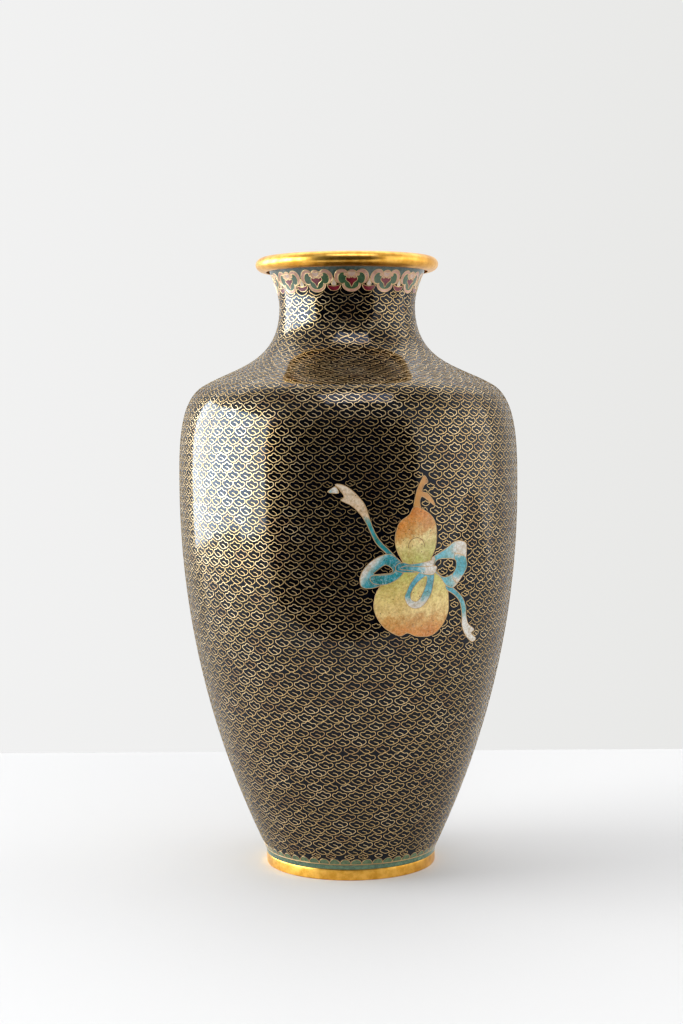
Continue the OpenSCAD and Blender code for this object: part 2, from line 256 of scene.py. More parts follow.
def gilt(name):
    """Rubbed gilding: bright, with duller and browner patches, partly rubbed wear and partly a painted
    reflection of a dark ceiling.
    """
    m, tree, b = material(name, metallic=1.0)
    wear = object_noise(tree, 260.0, 6.0, 0.65)
    patches = object_noise(tree, 45.0, 4.0, 0.6)
    bright = ramp(tree, wear, (0.40, (0.74, 0.35, 0.04)), (0.58, (0.98, 0.54, 0.10)))
    # The browner patches are partly rubbed wear and partly painted reflection of a dark ceiling.
    worn_and_dark_reflection = ramp(tree, patches, (0.50, BLACK), (0.68, (0.55, 0.55, 0.55)))
    colour = mixed(tree, worn_and_dark_reflection, bright, (0.55, 0.25, 0.035))
    tree.links.new(colour, b.inputs["Base Color"])
    tree.links.new(ranged(tree, patches, 0.0, 1.0, 0.2, 0.42), b.inputs["Roughness"])
    bumped(tree, b, wear, 0.05, 0.5)
    return m


def wire_metal(name, colour, roughness=0.33):
    """Wire rubbed flush and a little dulled, so it is not a full mirror."""
    m, _, b = material(name, metallic=0.76, roughness=roughness)
    set_inputs(b, Specular_IOR_Level=0.3, Base_Color=(*colour, 1))
    return m


def axis_shaded(name, start, stops, ragged, along="Z", lean=0.0, flecks=0.0, fleck_colour=MIST):
    """Enamel whose colours run into each other along an axis.

    Each stop is (millimetres from start, colour). ragged is how far the borders wander, lean tilts the
    bands by the other axis, and flecks is how much chalk is strewn over the colour."""
    m, tree, b = material(name, roughness=0.24, coat=0.15)
    split = node(tree, "ShaderNodeSeparateXYZ")
    tree.links.new(node(tree, "ShaderNodeTexCoord").outputs["Object"], split.inputs[0])
    stops = [(start + at, colour) for at, colour in stops]
    low, high = stops[0][0], stops[-1][0]
    leaning = scaled_sum(tree, split.outputs["X" if along == "Z" else "Z"], lean, split.outputs[along])
    where = ranged(tree, leaning, low * MM, high * MM)
    wander = ragged / (high - low)
    wobble = scaled_sum(tree, object_noise(tree, 280.0, 8.0, 0.85), wander * 5, -wander * 2.5)
    total = scaled_sum(tree, where, 1.0, wobble)
    colour = ramp(tree, total, *[((at - low) / (high - low), c) for at, c in stops])
    grain = ramp(tree, object_noise(tree, 1100.0, 4.0, 0.75), (0.40, (0.62, 0.54, 0.42)), (0.56, WHITE))
    colour = mixed(tree, 0.75, colour, grain, "MULTIPLY")
    cloud = ramp(tree, object_noise(tree, 330.0, 5.0, 0.7), (0.40, (0.72, 0.60, 0.44)), (0.56, WHITE))
    colour = mixed(tree, 0.7, colour, cloud, "MULTIPLY")
    if flecks:
        chalk = ramp(tree, object_noise(tree, 900.0, 6.0, 0.9), (0.50, BLACK), (0.68, (flecks,) * 3))
        colour = mixed(tree, chalk, colour, fleck_colour)
    spots = pits(tree, 420.0, 0.085)
    tree.links.new(mixed(tree, spots, (0.05, 0.03, 0.02), colour), b.inputs["Base Color"])
    bumped(tree, b, object_noise(tree, 350.0, 3.0), 0.02, 0.4)
    return m


# ---------------------------------------------------------------- making pieces
def only(obj):
    bpy.ops.object.select_all(action="DESELECT")
    obj.select_set(True)
    bpy.context.view_layer.objects.active = obj


def in_edit(obj):
    only(obj)
    bpy.ops.object.mode_set(mode="EDIT")
    bpy.ops.mesh.select_all(action="SELECT")


def out_of_edit():
    bpy.ops.object.mode_set(mode="OBJECT")


def dress(obj, name, finishes, replaced=()):
    """Names a finished piece, gives it its materials and ties it to the frame."""
    obj.name = name
    obj.data.name = name
    for finish in finishes:
        obj.data.materials.append(finish)
    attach(obj, "root")
    if replaced:
        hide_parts(*replaced)


def turned(points, steps=RING_STEPS):
    """A closed section, as (radius, height) in millimetres, turned once round the vase's axis."""
    bpy.ops.object.select_all(action="DESELECT")
    bpy.ops.mesh.primitive_circle_add(vertices=len(points), radius=0.01, fill_type="NOTHING")
    obj = bpy.context.object
    for v, (r, z) in zip(obj.data.vertices, points):
        v.co = (r * MM, 0, z * MM)
    in_edit(obj)
    bpy.ops.mesh.spin(steps=steps, angle=TAU, center=(0, 0, 0), axis=(0, 0, 1))
    bpy.ops.mesh.select_all(action="SELECT")
    bpy.ops.mesh.remove_doubles(threshold=0.000002)
    bpy.ops.mesh.dissolve_degenerate(threshold=0.000001)
    bpy.ops.mesh.normals_make_consistent(inside=False)
    out_of_edit()
    bpy.ops.object.shade_smooth_by_angle(angle=TURNED_CREASE)
    return obj


def new_object(name, data):
    obj = bpy.data.objects.new(name, data)
    bpy.context.scene.collection.objects.link(obj)
    return obj


def new_mesh(name, points, edges=(), faces=()):
    mesh = bpy.data.meshes.new(name)
    mesh.from_pydata([tuple(p) for p in points], [tuple(e) for e in edges], [tuple(f) for f in faces])
    return new_object(name, mesh)


def wall_section(z0, z1, d0, d1, step=1.4):
    """Section of a coat of the wall between two heights and two depths."""
    def side(depth, count):
        z = height_at(np.linspace(arc_at(z0), arc_at(z1), count))
        r, zz = at_height(z, depth)
        return list(zip(r, zz))
    count = max(3, int((arc_at(z1) - arc_at(z0)) / step))
    return side(d0, count) + side(d1, max(3, count // 3))[::-1]


# ---------------------------------------------------------------- flat drawings
def curves_through(points, steps, closed):
    """Catmull-Rom points for many paths at once: points is (paths, controls, 2)."""
    t = (np.arange(steps) / steps)[None, None, :, None]
    if closed:
        a, b, c, d = (np.roll(points, k, axis=1) for k in (1, 0, -1, -2))
    else:
        ext = np.concatenate([2 * points[:, :1] - points[:, 1:2], points,
                              2 * points[:, -1:] - points[:, -2:-1]], axis=1)
        a, b, c, d = ext[:, :-3], ext[:, 1:-2], ext[:, 2:-1], ext[:, 3:]
    a, b, c, d = (q[:, :, None, :] for q in (a, b, c, d))
    q = b + 0.5 * t * (c - a + t * (2 * a - 5 * b + 4 * c - d + t * (3 * b - a - 3 * c + d)))
    q = q.reshape(len(points), -1, 2)
    return q if closed else np.concatenate([q, points[:, -1:]], axis=1)


def smooth(points, steps=4):
    """A smooth closed curve through a few given points."""
    return curves_through(np.array([points], float), steps, True)[0]


def ring(x, y, r, count=28, squash=1.0):
    a = np.arange(count) / count * TAU + 0.05
    return np.stack([x + r * np.cos(a), y + r * squash * np.sin(a)], axis=1)


def inside(loop, points):
    """Which points lie inside a closed loop."""
    x, y = points[:, 0][:, None], points[:, 1][:, None]
    x0, y0 = loop[:, 0][None], loop[:, 1][None]
    x1, y1 = np.roll(x0, -1, axis=1), np.roll(y0, -1, axis=1)
    crosses = (y0 > y) != (y1 > y)
    with np.errstate(divide="ignore", invalid="ignore"):
        at = x0 + (y - y0) * (x1 - x0) / (y1 - y0)
    return (crosses & (x < at)).sum(axis=1) % 2 == 1


class Drawing:
    """Closed loops on a flat sheet, and the area that each of the named fills covers.

    The fills are given from the front one to the back one, each as its name, the loops that it lies
    inside and the loops that are cut out of it. grid is the distance between the sheet's inner points."""

    def __init__(self, fills, grid=1.1):
        self.fills = fills
        loops = []
        for _, ins, outs in fills:
            for loop in list(ins) + list(outs):
                if not any(loop is other for other in loops):
                    loops.append(loop)
        points, edges = [], []
        for loop in loops:
            base = len(points)
            points += [Vector(p) for p in loop]
            edges += [(base + k, base + (k + 1) % len(loop)) for k in range(len(loop))]
        every = np.vstack(loops)
        lo, hi = every.min(axis=0) - 0.3, every.max(axis=0) + 0.3
        gx = np.arange(lo[0], hi[0] + grid, grid)
        gy = np.arange(lo[1], hi[1] + grid, grid)
        sheet = np.array([(x + 0.03 * (j % 2), y) for j, y in enumerate(gy) for x in gx])
        near = np.min(np.linalg.norm(sheet[:, None] - every[None], axis=2), axis=1)
        points += [Vector(p) for p in sheet[near > 0.35 * grid]]
        out = delaunay_2d_cdt(points, edges, [], 0, 1e-5, False)
        self.points = np.array([tuple(p) for p in out[0]])
        faces = np.array([f for f in out[2] if len(f) == 3])
        a, b, c = (self.points[faces[:, k]] for k in range(3))
        area = (b[:, 0] - a[:, 0]) * (c[:, 1] - a[:, 1]) - (b[:, 1] - a[:, 1]) * (c[:, 0] - a[:, 0])
        faces[area < 0] = faces[area < 0][:, ::-1]
        self.faces = faces[np.abs(area) > 1e-6]
        self.label = self.fill_at(self.points[self.faces].mean(axis=1))

    def fill_at(self, points):
        """Index of the fill that shows at each point, or -1 on bare ground."""
        label = np.full(len(points), -1)
        for k, (_, ins, outs) in reversed(list(enumerate(self.fills))):
            hit = np.zeros(len(points), bool)
            for loop in ins:
                hit |= inside(loop, points)
            for loop in outs:
                hit &= ~inside(loop, points)
            label[hit] = k
        return label

    def panel(self, names):
        """Points and triangles of the fills with these names."""
        chosen = [k for k, fill in enumerate(self.fills) if fill[0] in names]
        faces = self.faces[np.isin(self.label, chosen)]
        used, index = np.unique(faces, return_inverse=True)
        return self.points[used], index.reshape(-1, 3)

    def wires(self, keep=None):
        """Points and edges along which two different fills meet; keep tests a pair of fills."""
        sides = {}
        for face, label in zip(self.faces.tolist(), self.label.tolist()):
            for k in range(3):
                edge = tuple(sorted((face[k], face[(k + 1) % 3])))
                sides.setdefault(edge, []).append(label)
        edges = []
        for edge, labels in sides.items():
            labels = (labels + [-1])[:2]
            if labels[0] != labels[1] and (keep is None or keep(*labels)):
                edges.append(edge)
        used, index = np.unique(np.array(edges), return_inverse=True)
        return self.points[used], index.reshape(-1, 2)


def copies(points, faces, turns, z0, depth):
    """A flat drawing's points and faces, carried onto the wall once for each direction."""
    all_points, all_faces = [], []
    for turn in turns:
        all_faces.append(faces + len(points) * len(all_points))
        all_points.append(flat_to_wall(points, turn, z0, depth))
    return np.vstack(all_points), np.vstack(all_faces)


def fired_panel(name, where, fills, enamel, replaced=()):
    """A thin layer of enamel over some fills of a drawing; where is (drawing, directions, height)."""
    drawing, turns, z0 = where
    points, faces = copies(*drawing.panel(fills), turns, z0, PANEL_D)
    obj = new_mesh(name, points, faces=faces)
    only(obj)
    thick = obj.modifiers.new("thickness", "SOLIDIFY")
    thick.thickness = PANEL_THICK * MM
    thick.offset = -1
    bpy.ops.object.modifier_apply(modifier="thickness")
    bpy.ops.object.shade_smooth_by_angle(angle=PANEL_CREASE)
    dress(obj, name, [enamel], replaced)


def bent_wire(name, points, edges, metal, replaced=(), radius=WIRE_R):
    """Wires along the given edges, bevelled to a round section and closed at the ends."""
    obj = new_mesh(name, points, edges=edges)
    only(obj)
    bpy.ops.object.convert(target="CURVE")
    obj = bpy.context.object
    obj.data.bevel_depth = radius * MM
    obj.data.bevel_resolution = 1
    obj.data.use_fill_caps = True
    bpy.ops.object.convert(target="MESH")
    obj = bpy.context.object
    in_edit(obj)
    bpy.ops.mesh.remove_doubles(threshold=0.000001)
    bpy.ops.mesh.normals_make_consistent(inside=False)
    out_of_edit()
    bpy.ops.object.shade_smooth()
    dress(obj, name, [metal], replaced)


def drawn_wire(name, where, metal, replaced=(), radius=WIRE_R, keep=None):
    """The wires that part a drawing's fills; where is (drawing, directions, height)."""
    drawing, turns, z0 = where
    points, edges = copies(*drawing.wires(keep), turns, z0, WIRE_TOP + radius)
    bent_wire(name, points, edges, metal, replaced, radius)


# ---------------------------------------------------------------- gourd and ribbon
# Millimetres to the right of and above the gourd's waist, seen square on.
GOURD_LOWER = smooth([
    (-14.5, -9), (-16.5, -15), (-15.5, -20), (-12, -25), (-6, -28.5), (-2.5, -27.5), (1.5, -29), (8, -29),
    (12.5, -25.5), (15, -20.5), (15, -15.5), (14, -10.5), (10.5, -6), (7, -4), (0, -2), (-8, -3)])
GOURD_UPPER = smooth([
    (-4.5, -1.5), (-6, 1), (-8, 4.5), (-9, 8.5), (-8.5, 12.5), (-7, 16), (-3.5, 18.5), (-1.5, 21.5),
    (1.5, 21), (6, 18), (8, 14.5), (8.5, 10), (8, 5.5), (6.5, 2), (5, -1), (1.5, -2)])
STEM = smooth([
    (-1.5, 20.5), (-1, 25), (0, 28.5), (1.5, 31.5), (3, 33.5), (4.5, 31), (3, 30), (2, 27.5), (4.5, 26.5),
    (7, 23.5), (7.5, 22), (6.5, 22.5), (4.5, 24), (2, 25.5), (1, 23.5), (1.5, 20)])
TAIL_LEFT = smooth([
    (-31, 30.5), (-29, 30.5), (-26, 29), (-23, 26), (-20.5, 22.5), (-19, 18), (-17, 12.5), (-14.5, 8.5),
    (-11, 5), (-5.5, -1), (-8.5, 0), (-12.5, 4), (-16, 7.5), (-18, 11), (-20, 15.5), (-22.5, 19.5),
    (-25.5, 22.5), (-29, 24.5), (-28, 26), (-29.5, 28.5)])
TAIL_TIP = smooth([(-33.5, 27.6), (-32, 29.3), (-30.8, 29.6), (-30, 27.3)])
TAIL_RIGHT = smooth([
    (14, -9), (18, -11.5), (22, -15), (24, -19), (24.5, -22.5), (26, -26), (29.5, -28.5), (28, -30),
    (31, -32.5), (28.5, -33.5), (24.5, -30), (22.5, -26), (22, -21), (20.5, -16.5), (17.5, -13.5),
    (13.5, -11)])
LOOP_LEFT = smooth([
    (-6, 0), (-10.5, 3.5), (-14.5, 3), (-18, 1), (-21, -2.5), (-22, -6.5), (-21, -9), (-18, -9.5),
    (-14, -8.5), (-9, -7), (-5, -3.5)])
LOOP_LEFT_EYE = smooth([(-17, -4), (-15, -2), (-12.5, -0.5), (-10, -2), (-10, -3.5), (-13, -4)])
LOOP_LEFT_INNER = smooth([
    (-17.5, -4.6), (-13, -4.4), (-9.6, -3.9), (-8, -2.2), (-5.6, -2.6), (-6, -4.6), (-9, -7), (-12.6, -8.2),
    (-16.4, -7.8), (-18.2, -6.2)])
LOOP_MIDDLE = smooth([
    (2.5, -3), (-2, -7.5), (-3.5, -10.5), (-4.5, -13.5), (-2.5, -17), (1, -18), (4, -16.5), (6.5, -13),
    (7.5, -9), (7.5, -4)])
LOOP_MIDDLE_EYE = smooth([(4, -5.5), (4.5, -7.5), (3, -12), (1, -15), (-1.5, -14.5), (-2, -12), (0, -8.5)])
LOOP_RIGHT = smooth([
    (6.5, 1.5), (13, 5), (17, 7.5), (20.5, 7.5), (23, 6), (23, 1), (23.5, -3), (20, -8), (17, -10.5),
    (13.5, -9.5), (10.5, -6), (8, -4), (6.5, -1)])
LOOP_RIGHT_EYE = smooth([
    (8, -0.5), (10.5, 1), (17, 0.5), (18, -2), (17, -4.5), (14.5, -6), (11.5, -6), (8.5, -3.5)])
LOOP_RIGHT_FOLD = smooth([
    (17, 2.2), (19.5, 2.6), (23.6, 0.2), (24.5, -4), (20, -9), (16.4, -6.4), (17.5, -2)])
SASH = smooth([
    (-8, -0.5), (-5.5, 0.2), (-2, -0.5), (5.5, 0.5), (7, 2), (8, 1), (7.5, -1), (8.5, -2.5), (7.5, -4.5),
    (4.5, -4.5), (2, -4), (-6, -3.5), (-8.5, -2.5)])
SASH_BAND = smooth([
    (-6.8, -2.3), (-4.6, -1.1), (0, -1.5), (4, -1.7), (8.2, -1.6), (8.8, -3), (7.5, -4.8), (4.5, -4.8),
    (1, -3.8), (-2.2, -3.0)])

MOTIF = Drawing([
    ("sash_band", [SASH_BAND], []),
    ("sash", [SASH], []),
    ("loop_middle", [LOOP_MIDDLE], [LOOP_MIDDLE_EYE]),
    ("loop_left_inner", [LOOP_LEFT_INNER], [LOOP_LEFT_EYE]),
    ("loop_left", [LOOP_LEFT], [LOOP_LEFT_EYE]),
    ("tail_left", [TAIL_LEFT], []),
    ("tail_tip", [TAIL_TIP], []),
    ("loop_right", [LOOP_RIGHT], [LOOP_RIGHT_EYE, LOOP_RIGHT_FOLD]),
    ("loop_right_under", [LOOP_RIGHT], [LOOP_RIGHT_EYE]),
    ("tail_right", [TAIL_RIGHT], []),
    ("gourd_upper", [GOURD_UPPER], []),
    ("gourd_lower", [GOURD_LOWER], []),
    ("stem", [STEM], []),
])


# ---------------------------------------------------------------- drawings of the collar and the border
def cloud_head():
    """One head of the collar: three lobes with a pink band round green, and a dark red heart."""
    lobes = [ring(-4.1, 0.2, 2.85), ring(4.1, 0.2, 2.85), ring(0, -2.6, 3.8, squash=0.84),
             ring(0, 0.5, 2.3)]
    curls = [ring(-2.55, 1.05, 0.6, 14), ring(2.55, 1.05, 0.6, 14)]
    greens = [ring(-3.75, -0.4, 1.75, squash=1.25), ring(3.75, -0.4, 1.75, squash=1.25),
              ring(0, -2.6, 2.95, squash=0.72)]
    heart = smooth([(0, -3.9), (0.85, -2.4), (2.3, -1.2), (2.1, 0.0), (1.0, -0.5), (0.5, 0.2), (0, -0.3),
                    (-0.5, 0.2), (-1.0, -0.5), (-2.1, 0.0), (-2.3, -1.2), (-0.85, -2.4)], 3)
    brow = smooth([(-1.5, 2.1), (0, 1.8), (1.5, 2.1), (1.3, 0.8), (0.6, 0.4), (0, 0.1), (-0.6, 0.4),
                   (-1.3, 0.8)], 3)
    return Drawing([
        ("heart", [heart], []),
        ("brow", [brow], []),
        ("curl", curls, []),
        ("leaf", greens, []),
        ("band", lobes, []),
    ], grid=0.9)


def pendant():
    """A pale drop over a dark red half-moon, in each gap between two heads."""
    drop = smooth([(0, 1.5), (0.45, 0.4), (0.95, -0.5), (0.75, -1.25), (0, -1.5), (-0.75, -1.25),
                   (-0.95, -0.5), (-0.45, 0.4)], 3)
    moon = smooth([(-2.7, -1.1), (-1.2, -1.5), (0, -1.65), (1.2, -1.5), (2.7, -1.1), (2.2, -2.5),
                   (0.9, -3.35), (-0.9, -3.35), (-2.2, -2.5)], 3)
    return Drawing([("drop", [drop], []), ("moon", [moon], [])], grid=0.9)


def scallop():
    """One green scallop, flat below and round above."""
    arch = smooth([(-2.0, 0.0), (0, -0.05), (2.0, 0.0), (2.05, 0.8), (1.4, 1.75), (0.3, 2.2), (-1.0, 1.95),
                   (-1.95, 1.0)], 3)
    return Drawing([("scallop", [arch], [])], grid=0.9)


HEAD, PENDANT, SCALLOP = cloud_head(), pendant(), scallop()
HEAD_TURNS = [HEAD_TURN + k * 360 / HEADS for k in range(HEADS)]
GAP_TURNS = [turn + 180 / HEADS for turn in HEAD_TURNS]
SCALLOP_TURNS = [(k + 0.5) * 360 / SCALLOPS for k in range(SCALLOPS)]
PENDANT_Z, SCALLOP_Z = HEAD_Z - 1.9, BORDER_Z + 0.1
# Where every drawing goes: (drawing, directions, height).
ON_BODY, ON_HEADS = (MOTIF, [GOURD_TURN], GOURD_Z), (HEAD, HEAD_TURNS, HEAD_Z)
IN_GAPS, ON_BORDER = (PENDANT, GAP_TURNS, PENDANT_Z), (SCALLOP, SCALLOP_TURNS, SCALLOP_Z)
INLAYS = [ON_BODY, ON_HEADS, IN_GAPS, ON_BORDER]


# ---------------------------------------------------------------- cloud cells of the dark ground
rng = np.random.default_rng(11)
CELL_PITCH, ROW_PITCH = 6.45, 3.42
CELL_WIRE = 0.125  # half the width of a wire's face
CELL_HALF = np.array([3.0, 1.9])  # half a cell's width and height
CELL_RING = np.array([
    (-2.97, 0.3), (-2.5, 0.93), (-1.4, 1.0), (-0.85, 1.62), (-0.22, 1.88), (0.5, 1.55), (1.25, 0.92),
    (2.3, 1.0), (2.95, 0.35), (2.85, -0.5), (1.95, -1.2), (0.9, -1.62), (-0.1, -1.86), (-0.98, -1.66),
    (-1.95, -1.08), (-2.85, -0.35)])
CELL_HOOK = np.array([(-0.8, -0.02), (0.0, -0.2), (0.85, -0.6), (1.18, -1.05), (0.98, -1.58)])
CELL_MARGIN = 1.04  # a cell needs this much of its own outline free
CLEAR = 0.34  # how far the middle of a wire keeps from a panel
ROW_FOOT, ROW_TOP = BORDER_Z + 2.9, HEAD_Z - 5.2  # the lowest and the highest row
CUT_FOOT, CUT_TOP = BORDER_Z + 0.6, HEAD_Z - 1.0  # no part of a cut cell lies outside these heights
CROWDING = 0.045  # a row keeps the count of the last until its cells are this much off their pitch
SIZES_TRIED = (0.88, 0.76, 0.64, 0.54)
PLACES_TRIED = ((0, 0), (1, 0), (-1, 0), (0, 1), (0, -1),
                (0.8, 0.8), (-0.8, 0.8), (0.8, -0.8), (-0.8, -0.8))
HOOK_FROM = 0.6  # cells smaller than this have no hook
SHORTEST_CUT = 4  # points in the shortest stretch kept of a cut cell
WIDEST_DRAWING = 0.6  # radians to either side
WIRE_PIECES = 6
TONE_SHARES = [0.4, 0.3, 0.2, 0.1]  # how much of the ground has each tone of wire


def on_wall(paths, arcs, thetas):
    """Direction and height of points given in millimetres about each cell's place on the wall."""
    z = height_at(arcs[:, None] + paths[..., 1])
    return thetas[:, None] + paths[..., 0] / radius_at(arcs)[:, None], z


def wire_strips(paths, arcs, thetas, closed):
    """Solid wires of triangular section along paths on the wall, flat side out.

    paths is (cells, points, 2). The answer is every cell's points, and one cell's faces."""
    ahead = np.roll(paths, -1, axis=1) - np.roll(paths, 1, axis=1)
    if not closed:
        ahead[:, 0] = paths[:, 1] - paths[:, 0]
        ahead[:, -1] = paths[:, -1] - paths[:, -2]
    ahead /= np.linalg.norm(ahead, axis=2, keepdims=True)
    across = np.stack([-ahead[..., 1], ahead[..., 0]], axis=-1) * CELL_WIRE
    rails = [placed(*on_wall(paths + shift * across, arcs, thetas), depth)
             for shift, depth in ((1, WIRE_TOP), (-1, WIRE_TOP), (0, WIRE_ROOT))]
    points = np.stack(rails, axis=2)
    cells, count = paths.shape[:2]
    faces = []
    for k in range(count if closed else count - 1):
        here, there = 3 * k, 3 * ((k + 1) % count)
        for s in range(3):
            faces.append((here + s, there + s, there + (s + 1) % 3, here + (s + 1) % 3))
    if not closed:
        faces += [(0, 1, 2), (3 * count - 1, 3 * count - 2, 3 * count - 3)]
    return points.reshape(cells, count * 3, 3), faces


def ground_is_bare(theta, z):
    """True where no panel lies nearer than CLEAR to a point."""
    shape, theta, z = z.shape, theta.ravel(), z.ravel()
    bare = np.ones(len(z), bool)
    for drawing, turns, z0 in INLAYS:
        y = z - z0
        low, high = drawing.points[:, 1].min() - CLEAR, drawing.points[:, 1].max() + CLEAR
        close = np.flatnonzero((y > low) & (y < high))
        away = (theta[close, None] - np.radians(turns)[None] + math.pi) % TAU - math.pi
        away = away[np.arange(len(close)), np.abs(away).argmin(axis=1)]
        here = np.abs(away) < WIDEST_DRAWING
        close, away = close[here], away[here]
        x, y = at_height(z[close])[0] * np.sin(away), y[close]
        free = np.ones(len(close), bool)
        for dx, dy in ((0, 0), (CLEAR, 0), (-CLEAR, 0), (0, CLEAR), (0, -CLEAR)):
            free &= drawing.fill_at(np.stack([x + dx, y + dy], axis=1)) < 0
        bare[close[~free]] = False
    return bare.reshape(shape)


def cell_places():
    """Where the cells go: rows at even steps up the wall, each half a cell round from the last.

    Each cell is (distance up the wall, direction, width over CELL_PITCH)."""
    low, high = arc_at(ROW_FOOT), arc_at(ROW_TOP)
    rows = int(round((high - low) / ROW_PITCH))
    places, count, start = [], 0, 0.0
    for row in range(rows + 1):
        arc = low + (high - low) * row / rows
        fair = TAU * radius_at(arc) / CELL_PITCH
        if abs(fair - count) > CROWDING * fair or count == 0:
            count = int(round(fair + 0.02 * fair * (1 if row < rows * 0.6 else -1)))
            start = rng.uniform(0, TAU)
        else:
            start += math.pi / count
        for k in range(count):
            places.append((arc, start + TAU * k / count, TAU * radius_at(arc) / count / CELL_PITCH))
    return np.array(places)


def cells_fit(arcs, thetas, scale, shift):
    """Whether each cell's outline, at this scale and shift, lies on the bare ground."""
    loop = CELL_RING[None] * scale[:, None, None] * CELL_MARGIN + shift[:, None]
    return ground_is_bare(*on_wall(loop, arcs, thetas)).all(axis=1)


def squeezed(arcs, thetas, blocked):
    """Scale and shift of every cell: those that meet a panel shrink and move over until they fit.

    A cell that never fits has the scale 0."""
    count = len(arcs)
    scale, shift = np.where(blocked, 0.0, 1.0), np.zeros((count, 2))
    for size in SIZES_TRIED:
        room = (1 - size) * CELL_HALF * 1.1
        for dx, dy in PLACES_TRIED:
            left = np.flatnonzero(scale == 0)
            move = np.tile(np.array([dx, dy]) * room, (len(left), 1))
            fits = cells_fit(arcs[left], thetas[left], np.full(len(left), size), move)
            scale[left[fits]] = size
            shift[left[fits]] = move[fits]
    return scale, shift


def cut_cells(paths, arcs, thetas):
    """The stretches of blocked cells' outlines that lie on bare ground, as open paths."""
    theta, z = on_wall(paths, arcs, thetas)
    bare = ground_is_bare(theta, z) & (z > CUT_FOOT) & (z < CUT_TOP)
    pieces = []
    for k in range(len(paths)):
        if bare[k].all() or not bare[k].any():
            continue
        first = int(np.flatnonzero(~bare[k])[0])
        order = np.roll(np.arange(paths.shape[1]), -first)
        run = []
        for i in list(order) + [first]:
            if bare[k][i]:
                run.append(i)
                continue
            if len(run) >= SHORTEST_CUT:
                pieces.append((paths[k][run][None], arcs[k:k + 1], thetas[k:k + 1]))
            run = []
    return pieces


def bent_by_hand(places):
    """Place, direction, scale and wire paths of every cell, no two of them quite alike."""
    count = len(places)
    arcs = places[:, 0] + rng.normal(0, 0.06, count)
    thetas = places[:, 1] + rng.normal(0, 0.12, count) / radius_at(places[:, 0])
    wide = (places[:, 2] * rng.normal(0.965, 0.02, count))[:, None, None]
    tall = rng.normal(0.955, 0.02, count)[:, None, None]
    tilt = rng.normal(0, 0.035, count)[:, None, None]
    size = np.concatenate([wide, tall], axis=2)
    blocked = ~cells_fit(arcs, thetas, np.ones(count), np.zeros((count, 2)))
    scale, shift = squeezed(arcs, thetas, blocked)
    size = size * np.where(scale > 0, scale, 1.0)[:, None, None]
    paths = []
    for shape, spread, closed in ((CELL_RING, 0.035, True), (CELL_HOOK, 0.05, False)):
        bent = (shape[None] + rng.normal(0, spread, (count, len(shape), 2))) * size + shift[:, None]
        x, y = bent[..., :1], bent[..., 1:]
        paths.append(curves_through(np.concatenate([x - tilt * y, y + tilt * x], axis=2), 2, closed))
    return arcs, thetas, scale, paths


def cloud_wires(metals):
    """All the cells' wires, zone by zone; each cell has one tone of metal."""
    arcs, thetas, scale, (rings_of_wire, hooks) = bent_by_hand(cell_places())
    whole = scale > 0
    for number, zone in enumerate(np.array_split(np.flatnonzero(whole), WIRE_PIECES), 1):
        tone = rng.choice(len(metals), len(zone), p=TONE_SHARES)
        with_hook = scale[zone] > HOOK_FROM
        hooked = zone[with_hook]
        strips = [(rings_of_wire[zone], arcs[zone], thetas[zone], True, tone),
                  (hooks[hooked], arcs[hooked], thetas[hooked], False, tone[with_hook])]
        if number == 1:
            strips += [(*piece, False, [rng.integers(0, 2)])
                       for piece in cut_cells(rings_of_wire[~whole], arcs[~whole], thetas[~whole])]
        points, faces, tones = [], [], []
        base = 0
        for paths, arc, theta, closed, shades in strips:
            p, cell_faces = wire_strips(paths, arc, theta, closed)
            cells, per_cell = p.shape[:2]
            for face in cell_faces:
                faces += (np.array(face) + base + per_cell * np.arange(cells)[:, None]).tolist()
                tones += list(shades)
            points.append(p.reshape(-1, 3))
            base += cells * per_cell
        name = f"cloud_wires_{number}"
        obj = new_mesh(name, np.vstack(points), faces=faces)
        dress(obj, name, metals)
        obj.data.polygons.foreach_set("material_index", np.array(tones, dtype=np.int32))
        obj.data.update()


# ---------------------------------------------------------------- finishes
DARK = dark_ground_enamel()
GILT = gilt("gilt_rolled")
WIRES = [wire_metal(*row) for row in (
    ("gilt_wire", (0.70, 0.48, 0.215)), ("gilt_wire_dull", (0.61, 0.41, 0.175)),
    ("gilt_wire_pale", (0.79, 0.57, 0.29)), ("gilt_wire_brown", (0.54, 0.34, 0.15)))]
TEAL, SKY, CHALK = (0.010, 0.20, 0.26), (0.13, 0.46, 0.56), (0.76, 0.73, 0.68)
SAND, HONEY = (0.78, 0.58, 0.38), (0.92, 0.80, 0.45)
ORANGE, RUST = (0.72, 0.26, 0.045), (0.70, 0.38, 0.11)
STRAW, LIME = (0.84, 0.66, 0.24), (0.56, 0.55, 0.14)


# ---------------------------------------------------------------- smooth coats and rings
def outer_coat(name, enamel, z0, z1, depth, replaced):
    dress(turned(wall_section(z0, z1, depth, COAT_BACK_D)), name, [enamel], [replaced])


